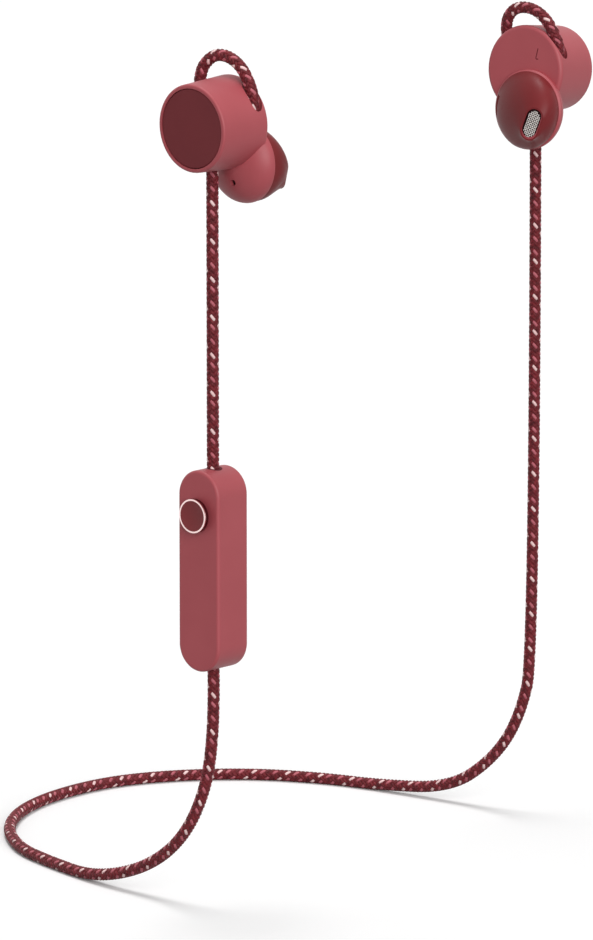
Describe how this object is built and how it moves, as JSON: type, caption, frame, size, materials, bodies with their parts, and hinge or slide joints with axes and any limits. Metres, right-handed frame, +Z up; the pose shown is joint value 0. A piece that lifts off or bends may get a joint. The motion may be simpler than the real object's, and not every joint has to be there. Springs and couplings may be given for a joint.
{
  "type": "in-ear earphones",
  "caption": "In-ear earphones joined by a braided cord, with a slim control pod that has a tilting press knob; drum-shaped bodies carry angled soft ear tips and cord loops.",
  "frame": {"origin": "middle of the right earphone's ear seat, where its ear tip meets the ear body", "axes": "+X from the right earphone to the left one, -Y the way the wearer faces, +Z up as the pair hangs"},
  "size_m": [0.1312, 0.108, 0.1865],
  "materials": {
    "body_shell": "soft matt, dusty red",
    "cap": "fine matt, dark red-brown",
    "ear_tip": "smooth dark red silicone",
    "bush": "matt dark red rubber",
    "mesh": "fine woven wire",
    "inner_plastic": "moulded, unpainted",
    "steel": "stamped and plated",
    "magnet": "nickel plated",
    "coil": "enamelled copper wire",
    "diaphragm": "thin film",
    "board": "solder resist",
    "gasket": "closed foam",
    "braid": "braided dark red yarn with pink flecks",
    "knob": "matt, dished",
    "ring": "polished, pinkish",
    "switch_steel": "turned",
    "cell": "foil pouch"
  },
  "bodies": {
    "earphones": {"right_drum_shell": "body_shell", "right_ear_body": "body_shell", "left_drum_shell": "body_shell", "left_ear_body": "body_shell", "pod_shell": "body_shell", "pod_back_cover": "body_shell", "right_cap_disc": "cap", "left_cap_disc": "cap", "right_ear_tip": "ear_tip", "left_ear_tip": "ear_tip", "right_cord_bush": "bush", "left_cord_bush": "bush", "pod_top_bush": "bush", "pod_bottom_bush": "bush", "right_nozzle_mesh": "mesh", "right_vent_screen": "mesh", "left_nozzle_mesh": "mesh", "left_vent_screen": "mesh", "right_loop_anchors": "inner_plastic", "right_driver_frame": "inner_plastic", "left_loop_anchors": "inner_plastic", "left_driver_frame": "inner_plastic", "switch_base": "inner_plastic", "right_driver_yoke": "steel", "right_driver_pole_plate": "steel", "left_driver_yoke": "steel", "left_driver_pole_plate": "steel", "radio_can": "steel", "charge_socket": "steel", "microphone": "steel", "right_driver_magnet": "magnet", "left_driver_magnet": "magnet", "right_voice_coil": "coil", "left_voice_coil": "coil", "right_diaphragm": "diaphragm", "left_diaphragm": "diaphragm", "right_terminal_board": "board", "left_terminal_board": "board", "main_board": "board", "right_driver_gasket": "gasket", "left_driver_gasket": "gasket", "right_ear_loop": "braid", "left_ear_loop": "braid", "right_cord": "braid", "long_cord": "braid", "switch_dome": "switch_steel", "battery": "cell"},
    "switch_gimbal": {"switch_gimbal": "inner_plastic"},
    "switch_rocker": {"switch_rocker": "switch_steel"},
    "knob": {"control_knob": "knob", "knob_ring": "ring"}
  },
  "joints": [
    {"name": "knob_tilt_up_down", "type": "hinge", "parent": "earphones", "child": "switch_gimbal", "pos_m": [-0.00918, 0.0036, -0.07483], "axis": [0.0436, 0.999, 0], "range_deg": [-4, 4], "stiffness_Nm_per_rad": 0.02},
    {"name": "knob_tilt_side", "type": "hinge", "parent": "switch_gimbal", "child": "switch_rocker", "pos_m": [-0.00918, 0.0036, -0.07483], "axis": [0, 0, 1], "range_deg": [-4, 4], "stiffness_Nm_per_rad": 0.02},
    {"name": "knob_press", "type": "slide", "parent": "switch_rocker", "child": "knob", "axis": [0.999, -0.0436, 0], "range_m": [0, 0.0004], "stiffness_N_per_m": 400}
  ]
}
